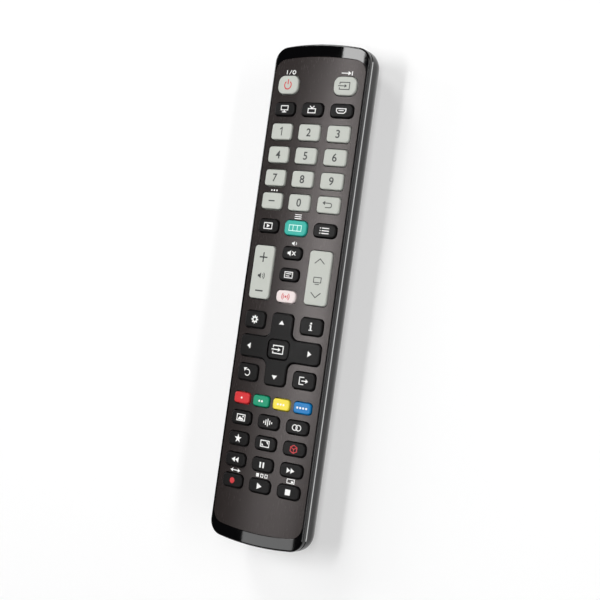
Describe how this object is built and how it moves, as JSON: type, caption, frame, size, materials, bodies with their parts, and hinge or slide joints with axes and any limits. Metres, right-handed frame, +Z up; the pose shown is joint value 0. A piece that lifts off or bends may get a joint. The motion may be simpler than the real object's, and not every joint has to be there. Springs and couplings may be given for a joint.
{
  "type": "universal remote control",
  "caption": "Slim handheld infrared remote control with a crowned keypad, rocker keys, a direction cross, a rounded glossy back and a sliding battery door.",
  "frame": {"origin": "middle of the footprint, on the surface that the back lies on", "axes": "+X across the keys to the right, +Y towards the infrared end, +Z up out of the keys"},
  "size_m": [0.0474, 0.215, 0.0213],
  "materials": {
    "gloss_shell": "polished black moulding",
    "face_plate": "satin dark taupe lacquer",
    "ir_window": "polished dark tinted plastic",
    "silicone": "matt",
    "circuit_board": "solder mask",
    "diode_clear": "clear",
    "component_black": "matt epoxy",
    "contact_steel": "bright",
    "battery_jacket": "printed jacket",
    "screw_steel": "zinc plated",
    "key_light": "satin light grey",
    "key_black": "satin black",
    "key_turquoise": "satin",
    "key_white": "satin",
    "key_red": "satin",
    "key_green": "satin",
    "key_yellow": "satin",
    "key_blue": "satin"
  },
  "bodies": {
    "root": {"upper_shell": "gloss_shell", "lower_shell": "gloss_shell", "face_plate": "face_plate", "ir_window": "ir_window", "keypad_mat": "silicone", "circuit_board": "circuit_board", "ir_emitters": "diode_clear", "board_components": "component_black", "battery_contacts": "contact_steel", "batteries": "battery_jacket", "case_screw": "screw_steel"},
    "battery_door": {"battery_door": "gloss_shell"},
    "key_volume": {"key_volume": "key_light"},
    "key_channel": {"key_channel": "key_light"},
    "dpad_hub": {"dpad_hub": "silicone"},
    "dpad_cross": {"dpad_cross": "key_black"},
    "key_ok": {"key_ok": "key_black"},
    "key_power": {"key_power": "key_light"},
    "key_source": {"key_source": "key_light"},
    "key_dash": {"key_dash": "key_light"},
    "key_previous": {"key_previous": "key_light"},
    "key_0": {"key_0": "key_light"},
    "key_1": {"key_1": "key_light"},
    "key_2": {"key_2": "key_light"},
    "key_3": {"key_3": "key_light"},
    "key_4": {"key_4": "key_light"},
    "key_5": {"key_5": "key_light"},
    "key_6": {"key_6": "key_light"},
    "key_7": {"key_7": "key_light"},
    "key_8": {"key_8": "key_light"},
    "key_9": {"key_9": "key_light"},
    "key_input_1": {"key_input_1": "key_black"},
    "key_input_2": {"key_input_2": "key_black"},
    "key_input_3": {"key_input_3": "key_black"},
    "key_media": {"key_media": "key_black"},
    "key_guide": {"key_guide": "key_black"},
    "key_mute": {"key_mute": "key_black"},
    "key_text": {"key_text": "key_black"},
    "key_tools": {"key_tools": "key_black"},
    "key_info": {"key_info": "key_black"},
    "key_return": {"key_return": "key_black"},
    "key_exit": {"key_exit": "key_black"},
    "key_picture": {"key_picture": "key_black"},
    "key_sound": {"key_sound": "key_black"},
    "key_dual": {"key_dual": "key_black"},
    "key_favourite": {"key_favourite": "key_black"},
    "key_size": {"key_size": "key_black"},
    "key_depth": {"key_depth": "key_black"},
    "key_rewind": {"key_rewind": "key_black"},
    "key_pause": {"key_pause": "key_black"},
    "key_forward": {"key_forward": "key_black"},
    "key_record": {"key_record": "key_black"},
    "key_play": {"key_play": "key_black"},
    "key_stop": {"key_stop": "key_black"},
    "key_menu": {"key_menu": "key_turquoise"},
    "key_stream": {"key_stream": "key_white"},
    "key_red": {"key_red": "key_red"},
    "key_green": {"key_green": "key_green"},
    "key_yellow": {"key_yellow": "key_yellow"},
    "key_blue": {"key_blue": "key_blue"}
  },
  "joints": [
    {"name": "door_slide", "type": "slide", "parent": "root", "child": "battery_door", "axis": [0, -1, 0], "range_m": [0, 0.059]},
    {"name": "volume_rock", "type": "hinge", "parent": "root", "child": "key_volume", "pos_m": [-0.0142, 0.00809, 0.018], "axis": [1, 0, 0], "range_deg": [-3.5, 3.5], "stiffness_Nm_per_rad": 0.08},
    {"name": "channel_rock", "type": "hinge", "parent": "root", "child": "key_channel", "pos_m": [0.0142, 0.00809, 0.018], "axis": [1, 0, 0], "range_deg": [-3.5, 3.5], "stiffness_Nm_per_rad": 0.08},
    {"name": "cross_tilt_up_down", "type": "hinge", "parent": "root", "child": "dpad_hub", "pos_m": [0, -0.02386, 0.01665], "axis": [1, 0, 0], "range_deg": [-2.5, 2.5], "stiffness_Nm_per_rad": 0.12},
    {"name": "cross_tilt_left_right", "type": "hinge", "parent": "dpad_hub", "child": "dpad_cross", "pos_m": [0, -0.02386, 0.01665], "axis": [0, 1, 0], "range_deg": [-2.2, 2.2], "stiffness_Nm_per_rad": 0.12},
    {"name": "ok_press", "type": "slide", "parent": "root", "child": "key_ok", "axis": [0, 0, -1], "range_m": [0, 0.0008], "stiffness_N_per_m": 600},
    {"name": "power_press", "type": "slide", "parent": "root", "child": "key_power", "axis": [0, 0, -1], "range_m": [0, 0.0008], "stiffness_N_per_m": 600},
    {"name": "source_press", "type": "slide", "parent": "root", "child": "key_source", "axis": [0, 0, -1], "range_m": [0, 0.0008], "stiffness_N_per_m": 600},
    {"name": "dash_press", "type": "slide", "parent": "root", "child": "key_dash", "axis": [0, 0, -1], "range_m": [0, 0.0008], "stiffness_N_per_m": 600},
    {"name": "previous_press", "type": "slide", "parent": "root", "child": "key_previous", "axis": [0, 0, -1], "range_m": [0, 0.0008], "stiffness_N_per_m": 600},
    {"name": "0_press", "type": "slide", "parent": "root", "child": "key_0", "axis": [0, 0, -1], "range_m": [0, 0.0008], "stiffness_N_per_m": 600},
    {"name": "1_press", "type": "slide", "parent": "root", "child": "key_1", "axis": [0, 0, -1], "range_m": [0, 0.0008], "stiffness_N_per_m": 600},
    {"name": "2_press", "type": "slide", "parent": "root", "child": "key_2", "axis": [0, 0, -1], "range_m": [0, 0.0008], "stiffness_N_per_m": 600},
    {"name": "3_press", "type": "slide", "parent": "root", "child": "key_3", "axis": [0, 0, -1], "range_m": [0, 0.0008], "stiffness_N_per_m": 600},
    {"name": "4_press", "type": "slide", "parent": "root", "child": "key_4", "axis": [0, 0, -1], "range_m": [0, 0.0008], "stiffness_N_per_m": 600},
    {"name": "5_press", "type": "slide", "parent": "root", "child": "key_5", "axis": [0, 0, -1], "range_m": [0, 0.0008], "stiffness_N_per_m": 600},
    {"name": "6_press", "type": "slide", "parent": "root", "child": "key_6", "axis": [0, 0, -1], "range_m": [0, 0.0008], "stiffness_N_per_m": 600},
    {"name": "7_press", "type": "slide", "parent": "root", "child": "key_7", "axis": [0, 0, -1], "range_m": [0, 0.0008], "stiffness_N_per_m": 600},
    {"name": "8_press", "type": "slide", "parent": "root", "child": "key_8", "axis": [0, 0, -1], "range_m": [0, 0.0008], "stiffness_N_per_m": 600},
    {"name": "9_press", "type": "slide", "parent": "root", "child": "key_9", "axis": [0, 0, -1], "range_m": [0, 0.0008], "stiffness_N_per_m": 600},
    {"name": "input_1_press", "type": "slide", "parent": "root", "child": "key_input_1", "axis": [0, 0, -1], "range_m": [0, 0.0008], "stiffness_N_per_m": 600},
    {"name": "input_2_press", "type": "slide", "parent": "root", "child": "key_input_2", "axis": [0, 0, -1], "range_m": [0, 0.0008], "stiffness_N_per_m": 600},
    {"name": "input_3_press", "type": "slide", "parent": "root", "child": "key_input_3", "axis": [0, 0, -1], "range_m": [0, 0.0008], "stiffness_N_per_m": 600},
    {"name": "media_press", "type": "slide", "parent": "root", "child": "key_media", "axis": [0, 0, -1], "range_m": [0, 0.0008], "stiffness_N_per_m": 600},
    {"name": "guide_press", "type": "slide", "parent": "root", "child": "key_guide", "axis": [0, 0, -1], "range_m": [0, 0.0008], "stiffness_N_per_m": 600},
    {"name": "mute_press", "type": "slide", "parent": "root", "child": "key_mute", "axis": [0, 0, -1], "range_m": [0, 0.0008], "stiffness_N_per_m": 600},
    {"name": "text_press", "type": "slide", "parent": "root", "child": "key_text", "axis": [0, 0, -1], "range_m": [0, 0.0008], "stiffness_N_per_m": 600},
    {"name": "tools_press", "type": "slide", "parent": "root", "child": "key_tools", "axis": [0, 0, -1], "range_m": [0, 0.0008], "stiffness_N_per_m": 600},
    {"name": "info_press", "type": "slide", "parent": "root", "child": "key_info", "axis": [0, 0, -1], "range_m": [0, 0.0008], "stiffness_N_per_m": 600},
    {"name": "return_press", "type": "slide", "parent": "root", "child": "key_return", "axis": [0, 0, -1], "range_m": [0, 0.0008], "stiffness_N_per_m": 600},
    {"name": "exit_press", "type": "slide", "parent": "root", "child": "key_exit", "axis": [0, 0, -1], "range_m": [0, 0.0008], "stiffness_N_per_m": 600},
    {"name": "picture_press", "type": "slide", "parent": "root", "child": "key_picture", "axis": [0, 0, -1], "range_m": [0, 0.0008], "stiffness_N_per_m": 600},
    {"name": "sound_press", "type": "slide", "parent": "root", "child": "key_sound", "axis": [0, 0, -1], "range_m": [0, 0.0008], "stiffness_N_per_m": 600},
    {"name": "dual_press", "type": "slide", "parent": "root", "child": "key_dual", "axis": [0, 0, -1], "range_m": [0, 0.0008], "stiffness_N_per_m": 600},
    {"name": "favourite_press", "type": "slide", "parent": "root", "child": "key_favourite", "axis": [0, 0, -1], "range_m": [0, 0.0008], "stiffness_N_per_m": 600},
    {"name": "size_press", "type": "slide", "parent": "root", "child": "key_size", "axis": [0, 0, -1], "range_m": [0, 0.0008], "stiffness_N_per_m": 600},
    {"name": "depth_press", "type": "slide", "parent": "root", "child": "key_depth", "axis": [0, 0, -1], "range_m": [0, 0.0008], "stiffness_N_per_m": 600},
    {"name": "rewind_press", "type": "slide", "parent": "root", "child": "key_rewind", "axis": [0, 0, -1], "range_m": [0, 0.0008], "stiffness_N_per_m": 600},
    {"name": "pause_press", "type": "slide", "parent": "root", "child": "key_pause", "axis": [0, 0, -1], "range_m": [0, 0.0008], "stiffness_N_per_m": 600},
    {"name": "forward_press", "type": "slide", "parent": "root", "child": "key_forward", "axis": [0, 0, -1], "range_m": [0, 0.0008], "stiffness_N_per_m": 600},
    {"name": "record_press", "type": "slide", "parent": "root", "child": "key_record", "axis": [0, 0, -1], "range_m": [0, 0.0008], "stiffness_N_per_m": 600},
    {"name": "play_press", "type": "slide", "parent": "root", "child": "key_play", "axis": [0, 0, -1], "range_m": [0, 0.0008], "stiffness_N_per_m": 600},
    {"name": "stop_press", "type": "slide", "parent": "root", "child": "key_stop", "axis": [0, 0, -1], "range_m": [0, 0.0008], "stiffness_N_per_m": 600},
    {"name": "menu_press", "type": "slide", "parent": "root", "child": "key_menu", "axis": [0, 0, -1], "range_m": [0, 0.0008], "stiffness_N_per_m": 600},
    {"name": "stream_press", "type": "slide", "parent": "root", "child": "key_stream", "axis": [0, 0, -1], "range_m": [0, 0.0008], "stiffness_N_per_m": 600},
    {"name": "red_press", "type": "slide", "parent": "root", "child": "key_red", "axis": [0, 0, -1], "range_m": [0, 0.0008], "stiffness_N_per_m": 600},
    {"name": "green_press", "type": "slide", "parent": "root", "child": "key_green", "axis": [0, 0, -1], "range_m": [0, 0.0008], "stiffness_N_per_m": 600},
    {"name": "yellow_press", "type": "slide", "parent": "root", "child": "key_yellow", "axis": [0, 0, -1], "range_m": [0, 0.0008], "stiffness_N_per_m": 600},
    {"name": "blue_press", "type": "slide", "parent": "root", "child": "key_blue", "axis": [0, 0, -1], "range_m": [0, 0.0008], "stiffness_N_per_m": 600}
  ]
}
